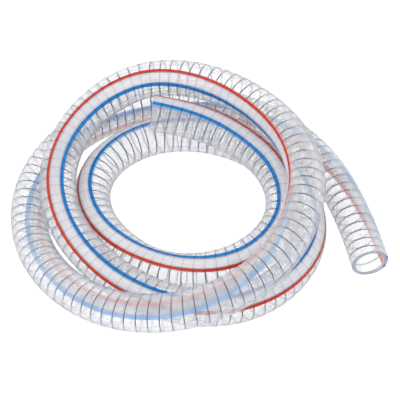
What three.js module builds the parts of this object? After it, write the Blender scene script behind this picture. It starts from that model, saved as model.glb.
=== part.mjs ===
// A clear PVC suction hose lying in a loose coil, with both cut ends open.
// Millimetres, +Z up. The origin is on the floor, under the middle of the hose's box.

import * as THREE from 'three';
import { NURBSCurve } from 'three/addons/curves/NURBSCurve.js';
import { mergeVertices } from 'three/addons/utils/BufferGeometryUtils.js';

// The hose's section
const BORE = 25;
const WALL = 3.5;
const OUTER = BORE + 2 * WALL;
const OUTER_SIDES = 16;
const BORE_SIDES = 12;

// The strips extruded into the outside of the wall, side by side
const STRIP_THICKNESS = 0.8;
const RED_WIDTH = 2.5;
const TINT_WIDTH = 9.4;
const BLUE_WIDTH = 3;
const CLEARANCE = 0.3;
const STRIPE_SIDES = 1;
const TINT_SIDES = 3;

// The way the hose lies: rings of the mesh along its length, and the turn from station to station
const RINGS = 100;
const FIRST_ANGLE = 102;
const STATION_TURN = -30;
const LENGTH_SAMPLES = 4000;
const UNITS_PER_DIAMETER = 32;

// Each station has its reach from the coil's middle and its level over the floor, both in
// units of the hose's outer diameter, and the roll of the strips in degrees:
// 0 is with their middle on top, and it grows towards the outside of the coil.
const STATIONS = [
  // the inner end, on the shoulder of the turn below it, and down to the floor
  [82, 56, 15], [80, 52, 6], [85, 47, -4], [98, 45, -5], [106, 42, 8], [95, 34, 28],
  // the first turn, on the floor
  [76, 24, 6], [62, 16, -1], [58, 16, 14], [64, 16, 22], [76, 16, 28], [86, 16, 36],
  [93, 16, 36], [99, 16, 38], [107, 16, 42], [119, 16, 50], [129, 16, 48], [126, 16, 30],
  // the second turn, rising over the third on the far side
  [114, 20, 30], [98, 27, 35], [92, 32, 28], [96, 36, 14], [106, 42, 1], [115, 53, -18],
  [121, 66, -37], [114, 69, -54], [110, 71, -68], [116, 75, -80], [124, 73, -90],
  // the third turn, coming down outside the others
  [131, 63, -117], [136, 51, -129], [134, 37, -136], [128, 25, -145], [127, 17, -161],
  [129, 16, -178], [130, 16, -189], [133, 16, -190], [138, 16, -203],
  // the tail, straightening as it leaves the coil
  [145, 16, -222], [156, 16, -246], [178, 16, -264],
];

const CLEAR_PVC = { color: 0xe4e6ea, roughness: 0.18, metalness: 0, transparent: true, opacity: 0.45 };
const RED_PVC = { color: 0xd2381e, roughness: 0.35, metalness: 0 };
const BLUE_PVC = { color: 0x1670bc, roughness: 0.35, metalness: 0 };
const TINT_PVC = { color: 0xcfcbe0, roughness: 0.3, metalness: 0, transparent: true, opacity: 0.8 };

const outerRadius = OUTER / 2;
const boreRadius = BORE / 2;

// The strips in their order round the section, each from one angle to another, in degrees
const degreesOf = (arc) => THREE.MathUtils.radToDeg(arc / outerRadius);
const stripsSpan = degreesOf(BLUE_WIDTH + TINT_WIDTH + RED_WIDTH + 2 * CLEARANCE);
const strips = [];
let nextStart = -stripsSpan / 2;
for (const [name, width, sides, look] of [
  ['blue_stripe', BLUE_WIDTH, STRIPE_SIDES, BLUE_PVC],
  ['tint_band', TINT_WIDTH, TINT_SIDES, TINT_PVC],
  ['red_stripe', RED_WIDTH, STRIPE_SIDES, RED_PVC],
]) {
  const from = nextStart;
  const to = from + degreesOf(width);
  strips.push({ name, from, to, sides, look });
  nextStart = to + degreesOf(CLEARANCE);
}

// Points on an arc of the section. Angle 0 is up, and it grows towards the outside of the coil.
function arcPoints(radius, from, to, sides) {
  const points = [];
  for (let i = 0; i <= sides; i += 1) {
    const angle = THREE.MathUtils.degToRad(from + (to - from) * i / Math.max(sides, 1));
    points.push(new THREE.Vector2(radius * Math.sin(angle), radius * Math.cos(angle)));
  }
  return points;
}

// The wall's section: a ring with a shallow pocket, whose floor lies along under the strips
function wallSection() {
  const pocketFloor = outerRadius - STRIP_THICKNESS - CLEARANCE;
  const pocketEnd = stripsSpan / 2 + degreesOf(CLEARANCE);
  const pocketStart = -pocketEnd;
  const backSides = Math.ceil(OUTER_SIDES * (360 - 2 * pocketEnd) / 360);
  const shape = new THREE.Shape([
    ...arcPoints(outerRadius, pocketEnd, pocketStart + 360, backSides),
    ...arcPoints(pocketFloor, pocketStart, pocketStart, 0),
    ...strips.flatMap(({ from, to, sides }) => arcPoints(pocketFloor, from, to, sides)),
    ...arcPoints(pocketFloor, pocketEnd, pocketEnd, 0),
  ]);
  const bore = arcPoints(boreRadius, 360, 0, BORE_SIDES).slice(0, BORE_SIDES);
  shape.holes.push(new THREE.Path(bore));
  return shape;
}

// A strip's section
function stripSection({ from, to, sides }) {
  return new THREE.Shape([
    ...arcPoints(outerRadius, from, to, sides),
    ...arcPoints(outerRadius - STRIP_THICKNESS, to, from, sides),
  ]);
}

// A smooth curve of degree 3 that starts at the first point, ends at the last and follows the rest
function smoothCurve(points) {
  const degree = 3;
  const spans = points.length - degree;
  const knots = [];
  for (let i = -degree; i <= spans + degree; i += 1) {
    knots.push(THREE.MathUtils.clamp(i, 0, spans) / spans);
  }
  return new NURBSCurve(degree, knots, points.map((p) => new THREE.Vector4(p.x, p.y, p.z, 1)));
}

// The hose's centreline, from the inner end to the tail's end
function routeCurve() {
  const unit = OUTER / UNITS_PER_DIAMETER;
  return smoothCurve(STATIONS.map(([reach, level], i) => {
    const angle = THREE.MathUtils.degToRad(FIRST_ANGLE + STATION_TURN * i);
    return new THREE.Vector3(reach * Math.cos(angle), reach * Math.sin(angle), level)
      .multiplyScalar(unit);
  }));
}

// Where each ring of the mesh is: its centre, and the section's own directions in space
function ringFrames(rings) {
  const route = routeCurve();
  route.arcLengthDivisions = LENGTH_SAMPLES;
  const roll = smoothCurve(STATIONS.map((station) => new THREE.Vector3(station[2], 0, 0)));
  const up = new THREE.Vector3(0, 0, 1);
  const frames = [];
  for (let i = 0; i <= rings; i += 1) {
    const t = route.getUtoTmapping(i / rings);
    const along = route.getTangent(t);
    const outward = new THREE.Vector3().crossVectors(up, along).normalize();
    const upward = new THREE.Vector3().crossVectors(along, outward);
    const turn = -THREE.MathUtils.degToRad(roll.getPoint(t).x);
    frames.push({
      centre: route.getPoint(t),
      across: outward.applyAxisAngle(along, turn),
      upright: upward.applyAxisAngle(along, turn),
    });
  }
  return frames;
}

// A section swept along the route: extruded straight, then each ring of points is laid on its frame
function sweep(section, frames) {
  const steps = frames.length - 1;
  const geometry = new THREE.ExtrudeGeometry(section, { depth: steps, steps, bevelEnabled: false });
  geometry.deleteAttribute('normal');
  geometry.deleteAttribute('uv');
  const place = geometry.getAttribute('position');
  const point = new THREE.Vector3();
  for (let i = 0; i < place.count; i += 1) {
    const { centre, across, upright } = frames[Math.round(place.getZ(i))];
    point.copy(centre)
      .addScaledVector(across, place.getX(i))
      .addScaledVector(upright, place.getY(i));
    place.setXYZ(i, point.x, point.y, point.z);
  }
  const closed = mergeVertices(geometry);
  closed.computeVertexNormals();
  return closed;
}

function piece(name, section, frames, look) {
  const mesh = new THREE.Mesh(sweep(section, frames), new THREE.MeshStandardMaterial(look));
  mesh.name = name;
  return mesh;
}

const frames = ringFrames(RINGS);
const hose = new THREE.Group();
hose.name = 'pvc_suction_hose';
hose.add(
  piece('hose_wall', wallSection(), frames, CLEAR_PVC),
  ...strips.map((strip) => piece(strip.name, stripSection(strip), frames, strip.look)),
);

// The origin goes under the middle of the hose's box, on the floor
const box = new THREE.Box3().setFromObject(hose, true);
const middle = box.getCenter(new THREE.Vector3());
hose.position.set(-middle.x, -middle.y, -box.min.z);

export default hose;
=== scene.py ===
"""A clear PVC suction hose in a loose coil: its looks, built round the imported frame."""

import math

import bpy
import numpy as np
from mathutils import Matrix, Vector


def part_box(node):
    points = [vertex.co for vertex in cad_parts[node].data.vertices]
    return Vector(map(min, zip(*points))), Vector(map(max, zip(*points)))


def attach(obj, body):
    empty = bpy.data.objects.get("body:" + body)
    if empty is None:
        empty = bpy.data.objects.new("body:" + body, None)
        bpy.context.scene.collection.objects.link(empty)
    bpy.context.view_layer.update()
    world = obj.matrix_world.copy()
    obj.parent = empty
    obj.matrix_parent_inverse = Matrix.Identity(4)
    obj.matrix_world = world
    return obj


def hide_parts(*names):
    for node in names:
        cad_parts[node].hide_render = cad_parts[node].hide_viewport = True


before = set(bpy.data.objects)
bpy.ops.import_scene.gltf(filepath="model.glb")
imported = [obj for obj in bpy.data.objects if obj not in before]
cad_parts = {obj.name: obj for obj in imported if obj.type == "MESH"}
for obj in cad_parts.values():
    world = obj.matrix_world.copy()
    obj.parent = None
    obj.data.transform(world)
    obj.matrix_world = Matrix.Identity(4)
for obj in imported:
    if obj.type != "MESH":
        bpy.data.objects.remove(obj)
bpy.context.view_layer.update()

MM = 0.001

# The hose's section, as in the solids
BORE = 25 * MM
WALL = 3.5 * MM
OUTER = BORE + 2 * WALL
OUTER_RADIUS = OUTER / 2
BORE_RADIUS = BORE / 2

# The strips extruded into the outside of the wall. They reach deeper than in the solids, and the
# stripes widen inwards, to look about as wide from the side as they do through the real wall.
STRIPE_DEPTH = 1.4 * MM
STRIPE_FLARE = 0.6 * MM
TINT_DEPTH = 1.25 * MM
STRIP_PROUD = 0.05 * MM
RED_WIDTH = 2.5 * MM
TINT_WIDTH = 10 * MM
BLUE_WIDTH = 3 * MM

# The spring steel wire inside the wall
WIRE_DIAMETER = 1.0 * MM
WIRE_PITCH = 9 * MM
WIRE_COVER = 0.3 * MM
HELIX_RADIUS = OUTER_RADIUS - WIRE_COVER - WIRE_DIAMETER / 2
WIRE_END_MARGIN = 1.5 * MM

# How far the wall stands out over the wire
RIPPLE = 0.14 * MM

# The meshes' rings along the hose and sides round it
ROUTE_SAMPLES = 12000
BOX_RINGS = 2000
BOX_SIDES = 48
WALL_RINGS = 1700
BORE_RINGS = 700
WALL_SIDES = 36
STRIP_RINGS = 1100
STRIPE_COLUMNS = 2
TINT_COLUMNS = 6
WIRE_RINGS_PER_TURN = 26
WIRE_SIDES = 6
SHARP_ANGLE = 40

# The order of a piece's materials: on its outer faces, its inner ones, and its flanks or cuts
OUTWARD, INWARD, ASIDE = 0, 1, 2

# The way the hose lies. Each station has its reach from the coil's middle and its level over the
# floor, both in units of 1/32 of the outer diameter, and the roll of the strips in degrees:
# 0 is with their middle on top, and it grows towards the outside of the coil.
FIRST_ANGLE = 102
STATION_TURN = -30
UNITS_PER_DIAMETER = 32
STATIONS = [
    # the inner end, on the shoulder of the turn below it, and down to the floor
    [82, 56, 15], [80, 52, 6], [85, 47, -4], [98, 45, -5], [106, 42, 8], [95, 34, 28],
    # the first turn, on the floor
    [76, 24, 6], [62, 16, -1], [58, 16, 14], [64, 16, 22], [76, 16, 28], [86, 16, 36],
    [93, 16, 36], [99, 16, 38], [107, 16, 42], [119, 16, 50], [129, 16, 48], [126, 16, 30],
    # the second turn, rising over the third on the far side
    [114, 20, 30], [98, 27, 35], [92, 32, 28], [96, 36, 14], [106, 42, 1], [115, 53, -18],
    [121, 66, -37], [114, 69, -54], [110, 71, -68], [116, 75, -80], [124, 73, -90],
    # the third turn, coming down outside the others
    [131, 63, -117], [136, 51, -129], [134, 37, -136], [128, 25, -145], [127, 17, -161],
    [129, 16, -178], [130, 16, -189], [133, 16, -190], [138, 16, -203],
    # the tail, straightening as it leaves the coil
    [145, 16, -222], [156, 16, -246], [178, 16, -264],
]
CORD_STEP = 5 * MM

# The camera, at the photograph's viewing angle
CAMERA_ELEVATION = 50
CAMERA_DISTANCE = 1.7
CAMERA_AIM = (0.0015, 0.0277, 0.0)
CAMERA_REACH = 20
FRAME_WIDTH_AT_AIM = 0.352
SENSOR = 36

# The studio: the lamps' light in watts, the sky, and the table with a glow of its own
KEY_LIGHT = 8
KEY_PLACE = (-0.9, -0.5, 1.8)
KEY_SIZE = 1.4
FILL_LIGHT = 4
FILL_PLACE = (1.4, 0.6, 1.4)
FILL_SIZE = 1.6
SKY_LIGHT = 1.1
FLOOR_HALF = 4.0
FLOOR_GLOW = 0.9
FLOOR_ROUGHNESS = 0.9
FLOOR_PATCHES = 3.0
WHITE = (1, 1, 1, 1)
FLOOR_DARK = (0.33, 0.33, 0.33, 1)
FLOOR_LIGHT = (0.36, 0.36, 0.36, 1)

# Enough bounces to see through every layer of a crossing
MOST_BOUNCES = 48

# Clear PVC: how far light spreads in it, its relief, and its colours
PVC_IOR = 1.5
LIGHT_SPREAD = 12 * MM
LINE_RELIEF = 0.3 * MM
LINE_STRENGTH = 0.12
CLEAR_ROUGHNESS = (0.08, 0.24)
# WALL_LIGHT and WALL_SHADE, and the bore's and the cut's pairs, are the two tones of painted reflection
# patches.
WALL_LIGHT = (0.8, 0.81, 0.81, 1)
WALL_SHADE = (0.57, 0.6, 0.66, 1)
# Painted rim shade: the darker tone that the wall takes where it is seen edge on.
WALL_RIM_SHADE = (0.35, 0.36, 0.39, 1)
BORE_LIGHT = (0.82, 0.82, 0.83, 1)
BORE_SHADE = (0.64, 0.67, 0.72, 1)
# Painted rim shade of the bore, where it is seen edge on.
BORE_RIM_SHADE = (0.6, 0.61, 0.65, 1)
CUT_LIGHT = (0.3, 0.32, 0.4, 1)
CUT_SHADE = (0.2, 0.22, 0.3, 1)

# Its haze, face on and edge on, and how much the haze patches change it
WALL_HAZE = (0.1, 0.75)
BORE_HAZE = (0.2, 0.45)
CUT_HAZE = (0.85, 0.95)
CLOUDED = (0.85, 1.15)

# Between which slants to the eye it changes, where 0 is face on and 1 is edge on
# The body colour turns to its painted rim shade between the first two slants.
RIM_SHADE_CHANGES = (0.4, 0.9)
HAZE_CHANGES = (0.2, 0.9)
WIRE_CHANGES = (0.3, 0.75)

# The wire as it is seen through the outside of the wall: drawn on it, face on and edge on
WIRE_SEEN = (0.12, 0.12, 0.14, 1)
WIRE_SEEN_WIDTH = 0.6 * MM
WIRE_SHOWS = (0.85 / 8, 0.85)
NO_WIRE = (0.0, 0.0)

# The stripes. A tick is the line that the wire draws across a strip. The inner faces, which are seen
# through the wall, are painted lighter than the outer ones: painted light. The flanks are paler too.
STRIPE_GLOSS = 0.25
STRIPE_ROUGHNESS = (0.22, 0.38)
STRIPE_TICK_WIDTH = 0.9 * MM
RED = (0.53, 0.036, 0.016, 1)
RED_DARK = (0.44, 0.026, 0.012, 1)
RED_TICK = (0.32, 0.02, 0.01, 1)
# Painted light: the red of the inner faces, made lighter than the outer red.
PAINTED_LIGHT_RED_INSIDE = (0.9, 0.32, 0.26, 1)
PAINTED_LIGHT_RED_INSIDE_DARK = (0.85, 0.25, 0.2, 1)
PALE_RED = (0.82, 0.5, 0.45, 1)
BLUE = (0.003, 0.17, 0.5, 1)
BLUE_DARK = (0.002, 0.14, 0.42, 1)
BLUE_TICK = (0.002, 0.08, 0.28, 1)
# Painted light: the blue of the inner faces, made lighter than the outer blue.
PAINTED_LIGHT_BLUE_INSIDE = (0.06, 0.47, 0.95, 1)
PAINTED_LIGHT_BLUE_INSIDE_DARK = (0.04, 0.4, 0.9, 1)
PALE_BLUE = (0.42, 0.62, 0.8, 1)

# The milky band, with the share of the light that its outer, inner and side faces stop
MILKY_ROUGHNESS = (0.2, 0.34)
MILKY_TICK_WIDTH = 0.6 * MM
MILKY_OPACITY = (0.75, 0.3, 0.5)
MILKY = (0.72, 0.7, 0.8, 1)
MILKY_SHADE = (0.65, 0.64, 0.75, 1)
MILKY_TICK = (0.54, 0.53, 0.61, 1)
# Painted light: the inner faces' colours, made lighter than the outer band's.
PAINTED_LIGHT_MILKY_INSIDE = (0.88, 0.84, 0.94, 1)
PAINTED_LIGHT_MILKY_INSIDE_DARK = (0.82, 0.78, 0.9, 1)

# The wire. Only its outward faces are dark, so that the wire on the hose's far side fades,
# as it does through a real wall.
STEEL_ROUGHNESS = (0.5, 0.65)
STEEL_METALLIC = 0.3
STEEL_GLOSS = 0.2
STEEL_DARK = (0.05, 0.05, 0.06, 1)
STEEL_LIGHT = (0.09, 0.09, 0.105, 1)
FADED_STEEL_DARK = (0.5, 0.5, 0.53, 1)
FADED_STEEL_LIGHT = (0.6, 0.6, 0.63, 1)


# The route

def smooth_curve(controls, count):
    """Points at even steps of the parameter, on a cubic curve that starts and ends at its end points."""
    controls = np.asarray(controls, float)
    degree = 3
    spans = len(controls) - degree
    knots = np.clip(np.arange(-degree, spans + degree + 1), 0, spans).astype(float)
    at = np.linspace(0, spans, count)
    first = np.minimum(at.astype(int), spans - 1)
    work = [controls[first + i] for i in range(degree + 1)]
    for r in range(1, degree + 1):
        for j in range(degree, r - 1, -1):
            low = knots[first + j]
            high = knots[first + j + degree + 1 - r]
            share = ((at - low) / (high - low))[:, None]
            work[j] = (1 - share) * work[j - 1] + share * work[j]
    return work[degree]


class Route:
    """The hose's centreline, with the section's directions at any length along it."""

    def __init__(self):
        unit = OUTER / UNITS_PER_DIAMETER
        angles = np.radians(FIRST_ANGLE + STATION_TURN * np.arange(len(STATIONS)))
        reach, level, roll = np.array(STATIONS, float).T
        controls = unit * np.stack([reach * np.cos(angles), reach * np.sin(angles), level], 1)
        self.points = smooth_curve(controls, ROUTE_SAMPLES)
        self.rolls = smooth_curve(roll[:, None], ROUTE_SAMPLES)[:, 0]
        steps = np.linalg.norm(np.diff(self.points, axis=0), axis=1)
        self.lengths = np.concatenate([[0], np.cumsum(steps)])
        self.length = self.lengths[-1]

    def at(self, lengths):
        """The centre, and the directions across, upright and along, at each of the lengths."""
        pick = [np.interp(lengths, self.lengths, self.points[:, k]) for k in range(3)]
        centre = np.stack(pick, 1)
        slopes = np.gradient(self.points, self.lengths, axis=0)
        along = np.stack([np.interp(lengths, self.lengths, slopes[:, k]) for k in range(3)], 1)
        along /= np.linalg.norm(along, axis=1)[:, None]
        outward = np.cross([0, 0, 1], along)
        outward /= np.linalg.norm(outward, axis=1)[:, None]
        upward = np.cross(along, outward)
        roll = np.radians(np.interp(lengths, self.lengths, self.rolls))[:, None]
        across = np.cos(roll) * outward - np.sin(roll) * upward
        upright = np.sin(roll) * outward + np.cos(roll) * upward
        return centre, across, upright, along


ROUTE = Route()


def ring_points(lengths, angles, radius):
    """A ring of points round the hose at each length. The radius may differ from point to point."""
    centre, across, upright, _ = ROUTE.at(lengths)
    radius = np.broadcast_to(radius, (len(lengths), len(angles)))
    points = (
        centre[:, None]
        + (radius * np.sin(angles))[..., None] * across[:, None]
        + (radius * np.cos(angles))[..., None] * upright[:, None]
    )
    return points.reshape(-1, 3)


def seat_on_frame():
    """Moves the route over the floor until the hose's box has the same middle as the solid's."""
    turn = np.linspace(0, 2 * math.pi, BOX_SIDES + 1)
    skin = ring_points(np.linspace(0, ROUTE.length, BOX_RINGS), turn, OUTER_RADIUS)
    low, high = np.array(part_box("hose_wall"))
    shift = (low + high) / 2 - (skin.min(0) + skin.max(0)) / 2
    shift[2] = 0
    ROUTE.points = ROUTE.points + shift


seat_on_frame()


# Meshes

def mesh_object(name, vertices, faces, lay=None, slots=None):
    """An object from vertices and faces, with the hose's map and the faces' materials if given."""
    mesh = bpy.data.meshes.new(name)
    mesh.from_pydata(vertices.tolist(), [], faces)
    if lay is not None:
        layer = mesh.uv_layers.new(name="lay")
        corners = np.empty(len(mesh.loops), dtype=np.int64)
        mesh.loops.foreach_get("vertex_index", corners)
        layer.data.foreach_set("uv", lay[corners].ravel())
    mesh.polygons.foreach_set("use_smooth", np.ones(len(mesh.polygons), dtype=bool))
    mesh.set_sharp_from_angle(angle=math.radians(SHARP_ANGLE))
    mesh.update()
    made = bpy.data.objects.new(name, mesh)
    bpy.context.scene.collection.objects.link(made)
    if slots is not None:
        mesh.polygons.foreach_set("material_index", slots.astype(np.int32))
    return made


def lay_of(lengths, angles):
    """The hose's map for rings of points: the length along it in metres, and the turn round it."""
    turns = angles / (2 * math.pi)
    return np.stack(np.meshgrid(lengths, turns, indexing="ij"), -1).reshape(-1, 2)


def ring_faces(rings, count, flip=False, start=0):
    """Quads between rings of count points each, which go round clockwise seen from the hose's start."""
    faces = []
    for i in range(rings - 1):
        row = start + i * count
        for j in range(count):
            k = (j + 1) % count
            quad = (row + j, row + count + j, row + count + k, row + k)
            faces.append(quad[::-1] if flip else quad)
    return faces


def wire_phase(lengths, angles):
    """How far round its turn the wire is past a place on the hose: 0 where the wire is under it."""
    return lengths[:, None] / WIRE_PITCH - angles[None, :] / (2 * math.pi)


def hose_wall():
    """The clear wall: outside with a soft swell over the wire, square cut ends, and the bore."""
    lengths = np.linspace(0, ROUTE.length, WALL_RINGS)
    bore_lengths = np.linspace(0, ROUTE.length, BORE_RINGS)
    angles = np.linspace(0, 2 * math.pi, WALL_SIDES, endpoint=False)
    swell = 0.5 + 0.5 * np.cos(2 * math.pi * wire_phase(lengths, angles))
    outside = ring_points(lengths, angles, OUTER_RADIUS - RIPPLE * (1 - swell ** 2))
    bore = ring_points(bore_lengths, angles, BORE_RADIUS)
    bore_start = len(outside)
    faces = ring_faces(WALL_RINGS, WALL_SIDES)
    faces += ring_faces(BORE_RINGS, WALL_SIDES, flip=True, start=bore_start)
    # A last ring's first point is as many points on as there are faces before it
    outside_faces = (WALL_RINGS - 1) * WALL_SIDES
    bore_faces = (BORE_RINGS - 1) * WALL_SIDES
    for first, second, flip in (
        (0, bore_start, False),
        (outside_faces, bore_start + bore_faces, True),
    ):
        for j in range(WALL_SIDES):
            k = (j + 1) % WALL_SIDES
            quad = (first + j, first + k, second + k, second + j)
            faces.append(quad[::-1] if flip else quad)
    lay = np.concatenate([lay_of(lengths, angles), lay_of(bore_lengths, angles)])
    slots = np.repeat([OUTWARD, INWARD, ASIDE], [outside_faces, bore_faces, 2 * WALL_SIDES])
    return mesh_object("clear_wall", np.concatenate([outside, bore]), faces, lay, slots)


def strip(name, start, width, columns, depth, flare=0.0):
    """A strip of the outside, a little proud of the wall, that reaches into it and may widen inwards."""
    lengths = np.linspace(0, ROUTE.length, STRIP_RINGS)
    share = np.linspace(0, 1, columns + 1)
    outer = start + width * share
    inner = start - flare + (width + 2 * flare) * share
    angles = np.concatenate([outer, inner[::-1]]) / OUTER_RADIUS
    radii = np.repeat([OUTER_RADIUS + STRIP_PROUD, OUTER_RADIUS - depth], columns + 1)
    count = len(angles)
    faces = ring_faces(STRIP_RINGS, count)
    last = (STRIP_RINGS - 1) * count
    for j in range(columns):
        quad = (j, j + 1, count - 2 - j, count - 1 - j)
        faces.append(quad)
        faces.append(tuple(last + v for v in quad[::-1]))
    around = [OUTWARD] * columns + [ASIDE] + [INWARD] * columns + [ASIDE]
    slots = np.concatenate([np.tile(around, STRIP_RINGS - 1), [OUTWARD] * (2 * columns)])
    return mesh_object(name, ring_points(lengths, angles, radii), faces, lay_of(lengths, angles), slots)


def wire_helix():
    """The wire, wound inside the wall from one end to the other."""
    span = ROUTE.length - 2 * WIRE_END_MARGIN
    rings = int(span / WIRE_PITCH * WIRE_RINGS_PER_TURN)
    lengths = WIRE_END_MARGIN + np.linspace(0, span, rings)
    angles = 2 * math.pi * lengths / WIRE_PITCH
    centre, across, upright, _ = ROUTE.at(lengths)
    out = np.sin(angles)[:, None] * across + np.cos(angles)[:, None] * upright
    line = centre + HELIX_RADIUS * out
    heading = np.gradient(line, axis=0)
    heading /= np.linalg.norm(heading, axis=1)[:, None]
    side = np.cross(heading, out)
    side /= np.linalg.norm(side, axis=1)[:, None]
    turn = np.linspace(0, 2 * math.pi, WIRE_SIDES, endpoint=False)
    ring = np.cos(turn)[:, None] * out[:, None] + np.sin(turn)[:, None] * side[:, None]
    vertices = (line[:, None] + WIRE_DIAMETER / 2 * ring).reshape(-1, 3)
    faces = ring_faces(rings, WIRE_SIDES, flip=True)
    faces.append(tuple(range(WIRE_SIDES)))
    faces.append(tuple(range(rings * WIRE_SIDES - 1, (rings - 1) * WIRE_SIDES - 1, -1)))
    around = [OUTWARD] + [INWARD] * (WIRE_SIDES - 2) + [OUTWARD]
    slots = np.concatenate([np.tile(around, rings - 1), [OUTWARD] * 2])
    return mesh_object("wire_helix", vertices, faces, lay_of(lengths, turn), slots)


# Materials

class Material:
    """A node material, with short ways to add and join nodes."""

    def __init__(self, name):
        self.material = bpy.data.materials.new(name)
        self.material.use_nodes = True
        self.tree = self.material.node_tree
        self.tree.nodes.clear()
        self.output = self.node("ShaderNodeOutputMaterial")

    def node(self, kind, **settings):
        made = self.tree.nodes.new(kind)
        for key, value in settings.items():
            if key in made.inputs:
                made.inputs[key].default_value = value
            else:
                setattr(made, key, value)
        return made

    def join(self, source, target):
        self.tree.links.new(source, target)

    def done(self, shader):
        self.join(shader.outputs[0], self.output.inputs["Surface"])
        return self.material

    def math(self, operation, *values):
        made = self.node("ShaderNodeMath", operation=operation)
        for i, value in enumerate(values):
            if isinstance(value, (int, float)):
                made.inputs[i].default_value = value
            else:
                self.join(value, made.inputs[i])
        return made.outputs[0]

    def noise(self, vector, scale, detail=2.0):
        made = self.node("ShaderNodeTexNoise", Scale=scale, Detail=detail)
        self.join(vector, made.inputs["Vector"])
        return made.outputs["Fac"]

    def mix(self, factor, first, second):
        made = self.node("ShaderNodeMix", data_type="RGBA")
        for value, key in ((factor, 0), (first, 6), (second, 7)):
            if isinstance(value, (int, float, tuple)):
                made.inputs[key].default_value = value
            else:
                self.join(value, made.inputs[key])
        return made.outputs[2]

    def spread(self, value, low, high, to_low, to_high):
        made = self.node("ShaderNodeMapRange")
        self.join(value, made.inputs[0])
        for i, number in enumerate((low, high, to_low, to_high), 1):
            made.inputs[i].default_value = number
        return made.outputs[0]

    def vary(self, noise, low, high):
        """Spreads a noise, which lies mostly between 0.3 and 0.7, over the given values."""
        return self.spread(noise, 0.3, 0.7, low, high)

    def plastic(self, glow, gloss=0.5):
        """A Principled shader for soft PVC, through which a share of the light spreads."""
        made = self.node("ShaderNodeBsdfPrincipled")
        made.inputs["IOR"].default_value = PVC_IOR
        made.inputs["Specular IOR Level"].default_value = gloss
        made.inputs["Subsurface Weight"].default_value = glow
        made.inputs["Subsurface Radius"].default_value = (1.0, 1.0, 1.0)
        made.inputs["Subsurface Scale"].default_value = LIGHT_SPREAD
        return made

    def lay(self):
        """The hose's map: the length along it in metres, and the turn round it."""
        return self.node("ShaderNodeUVMap", uv_map="lay").outputs[0]

    def marks(self, to_the_metre, to_the_turn, detail):
        """Noise on the hose's map, at a scale along the hose and a scale round it."""
        stretch = self.node("ShaderNodeMapping")
        stretch.inputs["Scale"].default_value = (to_the_metre, to_the_turn, 1.0)
        self.join(self.lay(), stretch.inputs[0])
        return self.noise(stretch.outputs[0], 1.0, detail)

    def draw_lines(self):
        """Fine lines along the hose, as the die leaves them, with slow changes along the length."""
        return self.marks(6.0, 60.0, 3.0)

    def haze_and_reflection_patches(self):
        """Soft patches of haze and of painted reflection, a few to each turn round the hose and a couple
        of centimetres long.
        """
        return self.marks(45.0, 5.0, 1.5)

    def over_wire(self, width):
        """1 over the wire, from half the width falling to 0 at the width to either side of it."""
        parts = self.node("ShaderNodeSeparateXYZ")
        self.join(self.lay(), parts.inputs[0])
        phase = self.math("SUBTRACT", self.math("DIVIDE", parts.outputs[0], WIRE_PITCH), parts.outputs[1])
        past = self.math("FRACT", self.math("ADD", phase, 0.5))
        off = self.math("ABSOLUTE", self.math("SUBTRACT", past, 0.5))
        return self.spread(off, width / WIRE_PITCH / 2, width / WIRE_PITCH, 1.0, 0.0)


def clear_pvc(name, haze, light_body, shade_body, painted_rim_shade, glow=1.0, wire_shows=NO_WIRE):
    """Clear PVC: a gloss over a body with painted reflection patches and a painted rim shade, hazy in
    patches, and hazier where it is seen edge on.
    """
    m = Material(name)
    lines = m.draw_lines()
    haze_and_reflection_patches = m.haze_and_reflection_patches()
    facing = m.node("ShaderNodeLayerWeight", Blend=0.5).outputs["Facing"]
    # Painted reflection: the body colour changes between its two tones in soft patches.
    body = m.mix(m.vary(haze_and_reflection_patches, 0.0, 1.0), shade_body, light_body)
    # Painted rim shade: the body darkens towards its edge tone where it is seen edge on.
    body = m.mix(m.spread(facing, *RIM_SHADE_CHANGES, 0.0, 1.0), body, painted_rim_shade)
    hazy = m.math("MULTIPLY", m.spread(facing, *HAZE_CHANGES, *haze), m.vary(haze_and_reflection_patches, *CLOUDED))
    wire_share = m.spread(facing, *WIRE_CHANGES, *wire_shows)
    over_wire = m.math("MULTIPLY", m.over_wire(WIRE_SEEN_WIDTH), wire_share)
    shader = m.plastic(glow)
    m.join(m.mix(over_wire, body, WIRE_SEEN), shader.inputs["Base Color"])
    m.join(m.math("MAXIMUM", hazy, over_wire), shader.inputs["Alpha"])
    m.join(m.vary(lines, *CLEAR_ROUGHNESS), shader.inputs["Roughness"])
    bump = m.node("ShaderNodeBump", Strength=LINE_STRENGTH, Distance=LINE_RELIEF)
    m.join(lines, bump.inputs["Height"])
    m.join(bump.outputs[0], shader.inputs["Normal"])
    return m.done(shader)


def strip_pvc(name, colour, dark, tick):
    """A coloured strip: slow changes of colour along it, and a darker line where the wire crosses it."""
    m = Material(name)
    lines = m.draw_lines()
    body = m.mix(m.vary(lines, 0.0, 1.0), colour, dark)
    shader = m.plastic(0.0, STRIPE_GLOSS)
    m.join(m.mix(m.over_wire(STRIPE_TICK_WIDTH), body, tick), shader.inputs["Base Color"])
    m.join(m.vary(lines, *STRIPE_ROUGHNESS), shader.inputs["Roughness"])
    return m.done(shader)


def milky_pvc(name, light_body, shade_body, tick, opacity):
    """The band between the stripes: milky, letting a little of what is behind it through."""
    m = Material(name)
    lines = m.draw_lines()
    body = m.mix(m.vary(lines, 0.0, 1.0), shade_body, light_body)
    shader = m.plastic(1.0)
    shader.inputs["Alpha"].default_value = opacity
    m.join(m.mix(m.over_wire(MILKY_TICK_WIDTH), body, tick), shader.inputs["Base Color"])
    m.join(m.vary(lines, *MILKY_ROUGHNESS), shader.inputs["Roughness"])
    return m.done(shader)


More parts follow.
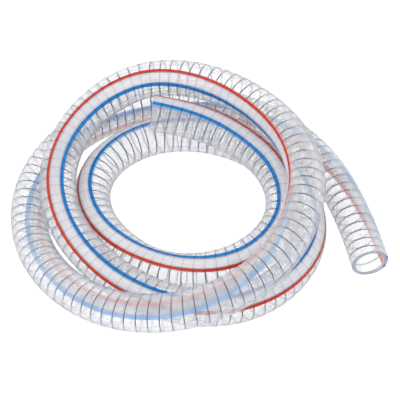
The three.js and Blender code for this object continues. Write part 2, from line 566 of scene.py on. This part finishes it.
def spring_steel(name, dark, light):
    """Drawn wire, with fine changes between two tones along it."""
    m = Material(name)
    drawn = m.marks(400.0, 3.0, 2.0)
    shader = m.node("ShaderNodeBsdfPrincipled")
    shader.inputs["Metallic"].default_value = STEEL_METALLIC
    shader.inputs["Specular IOR Level"].default_value = STEEL_GLOSS
    m.join(m.mix(drawn, dark, light), shader.inputs["Base Color"])
    m.join(m.vary(drawn, *STEEL_ROUGHNESS), shader.inputs["Roughness"])
    return m.done(shader)


def floor_paint():
    """A white table with a little light coming up through it, as under a product photograph."""
    m = Material("pale_floor")
    place = m.node("ShaderNodeTexCoord").outputs["Object"]
    tone = m.mix(m.noise(place, FLOOR_PATCHES), FLOOR_DARK, FLOOR_LIGHT)
    shader = m.node("ShaderNodeBsdfPrincipled")
    shader.inputs["Roughness"].default_value = FLOOR_ROUGHNESS
    shader.inputs["Specular IOR Level"].default_value = 0.0
    shader.inputs["Emission Color"].default_value = WHITE
    shader.inputs["Emission Strength"].default_value = FLOOR_GLOW
    m.join(tone, shader.inputs["Base Color"])
    return m.done(shader)


# The camera and the studio

def camera():
    data = bpy.data.cameras.new("camera")
    data.sensor_width = SENSOR
    data.lens = SENSOR * CAMERA_DISTANCE / FRAME_WIDTH_AT_AIM
    data.clip_end = CAMERA_REACH
    made = bpy.data.objects.new("camera", data)
    bpy.context.scene.collection.objects.link(made)
    tilt = math.radians(CAMERA_ELEVATION)
    back = Vector((0, -math.cos(tilt), math.sin(tilt)))
    made.location = Vector(CAMERA_AIM) + CAMERA_DISTANCE * back
    made.rotation_euler = (math.pi / 2 - tilt, 0, 0)
    bpy.context.scene.camera = made


def soft_light(name, place, size, watts):
    data = bpy.data.lights.new(name, "AREA")
    data.shape = "DISK"
    data.size = size
    data.energy = watts
    made = bpy.data.objects.new(name, data)
    made.location = place
    made.rotation_euler = (-Vector(place)).to_track_quat("-Z", "Y").to_euler()
    bpy.context.scene.collection.objects.link(made)


def studio():
    corners = FLOOR_HALF * np.array([(-1, -1, 0), (1, -1, 0), (1, 1, 0), (-1, 1, 0)], float)
    floor = mesh_object("floor", corners, [(0, 1, 2, 3)])
    floor.data.materials.append(floor_paint())
    soft_light("key", KEY_PLACE, KEY_SIZE, KEY_LIGHT)
    soft_light("fill", FILL_PLACE, FILL_SIZE, FILL_LIGHT)
    world = bpy.data.worlds.new("studio")
    bpy.context.scene.world = world
    world.use_nodes = True
    sky = world.node_tree.nodes["Background"]
    sky.inputs["Color"].default_value = WHITE
    sky.inputs["Strength"].default_value = SKY_LIGHT
    bpy.context.scene.view_settings.view_transform = "Standard"


def finish_piece(piece, slot, *materials):
    """Gives a piece its materials, in the order of OUTWARD, INWARD and ASIDE, and its body."""
    for material in materials:
        piece.data.materials.append(material)
    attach(piece, "root")


camera()

red_start = (TINT_WIDTH + RED_WIDTH + BLUE_WIDTH) / 2 - RED_WIDTH
tint_start = red_start - TINT_WIDTH
blue_start = tint_start - BLUE_WIDTH
wall = hose_wall()
wire = wire_helix()
red = strip("red_strip", red_start, RED_WIDTH, STRIPE_COLUMNS, STRIPE_DEPTH, STRIPE_FLARE)
tint = strip("milky_band", tint_start, TINT_WIDTH, TINT_COLUMNS, TINT_DEPTH)
blue = strip("blue_strip", blue_start, BLUE_WIDTH, STRIPE_COLUMNS, STRIPE_DEPTH, STRIPE_FLARE)

finish_piece(
    wall, "clear_wall",
    clear_pvc("clear_pvc", WALL_HAZE, WALL_LIGHT, WALL_SHADE, WALL_RIM_SHADE, wire_shows=WIRE_SHOWS),
    clear_pvc("clear_pvc_bore", BORE_HAZE, BORE_LIGHT, BORE_SHADE, BORE_RIM_SHADE),
    clear_pvc("cut_pvc", CUT_HAZE, CUT_LIGHT, CUT_SHADE, CUT_SHADE, glow=0.0),
)
finish_piece(
    wire, "steel_wire",
    spring_steel("spring_steel", STEEL_DARK, STEEL_LIGHT),
    spring_steel("spring_steel_inner", FADED_STEEL_DARK, FADED_STEEL_LIGHT),
)
finish_piece(
    red, "red_stripe",
    strip_pvc("red_pvc", RED, RED_DARK, RED_TICK),
    strip_pvc("red_pvc_inner", PAINTED_LIGHT_RED_INSIDE, PAINTED_LIGHT_RED_INSIDE_DARK, PAINTED_LIGHT_RED_INSIDE_DARK),
    strip_pvc("red_pvc_side", PALE_RED, PAINTED_LIGHT_RED_INSIDE, PAINTED_LIGHT_RED_INSIDE),
)
finish_piece(
    blue, "blue_stripe",
    strip_pvc("blue_pvc", BLUE, BLUE_DARK, BLUE_TICK),
    strip_pvc("blue_pvc_inner", PAINTED_LIGHT_BLUE_INSIDE, PAINTED_LIGHT_BLUE_INSIDE_DARK, PAINTED_LIGHT_BLUE_INSIDE_DARK),
    strip_pvc("blue_pvc_side", PALE_BLUE, PAINTED_LIGHT_BLUE_INSIDE, PAINTED_LIGHT_BLUE_INSIDE),
)
outer_opacity, inner_opacity, side_opacity = MILKY_OPACITY
finish_piece(
    tint, "tint_band",
    milky_pvc("milky_pvc", MILKY, MILKY_SHADE, MILKY_TICK, outer_opacity),
    milky_pvc("milky_pvc_inner", PAINTED_LIGHT_MILKY_INSIDE, PAINTED_LIGHT_MILKY_INSIDE_DARK, PAINTED_LIGHT_MILKY_INSIDE_DARK, inner_opacity),
    milky_pvc("milky_pvc_side", MILKY, MILKY_SHADE, MILKY_SHADE, side_opacity),
)

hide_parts("hose_wall")
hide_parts("red_stripe")
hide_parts("tint_band")
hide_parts("blue_stripe")

path = ROUTE.at(np.linspace(ROUTE.length, 0, int(ROUTE.length / CORD_STEP)))[0]

studio()
bpy.context.scene.cycles.max_bounces = MOST_BOUNCES
bpy.context.scene.cycles.transparent_max_bounces = MOST_BOUNCES
